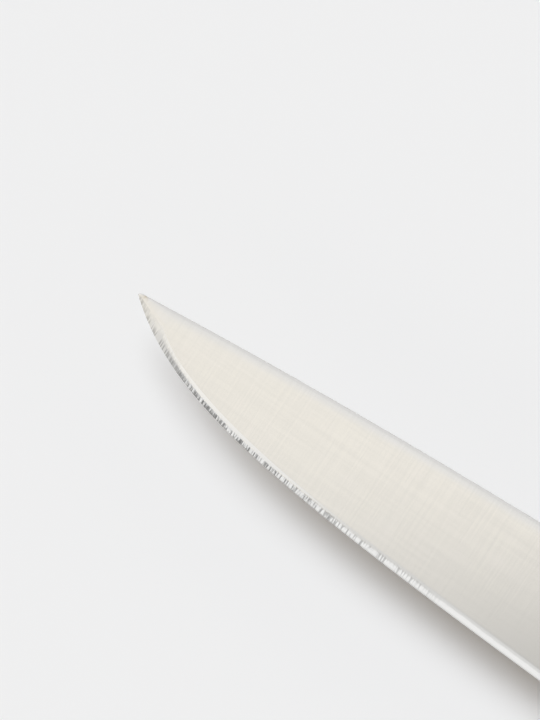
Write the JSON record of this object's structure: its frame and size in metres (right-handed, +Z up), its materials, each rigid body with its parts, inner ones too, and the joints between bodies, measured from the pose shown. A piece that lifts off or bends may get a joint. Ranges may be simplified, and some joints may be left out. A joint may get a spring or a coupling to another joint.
{
  "type": "kitchen knife",
  "caption": "Small kitchen knife lying on its side: a pointed, taper-ground blade on a full tang between riveted wooden handle scales.",
  "frame": {"origin": "middle of the bounding box, on the surface that the knife lies on", "axes": "+X from the tip to the butt, +Y from the edge to the spine, +Z up, out of the left face"},
  "size_m": [0.2224, 0.0216, 0.014],
  "materials": {
    "steel": "satin ground",
    "boxwood": "oiled",
    "brass": "ground flush"
  },
  "bodies": {
    "root": {"blade_with_tang": "steel", "left_scale": "boxwood", "right_scale": "boxwood", "front_rivet_sleeve": "brass", "front_rivet_post": "brass", "middle_rivet_sleeve": "brass", "middle_rivet_post": "brass", "rear_rivet_sleeve": "brass", "rear_rivet_post": "brass"}
  },
  "joints": []
}
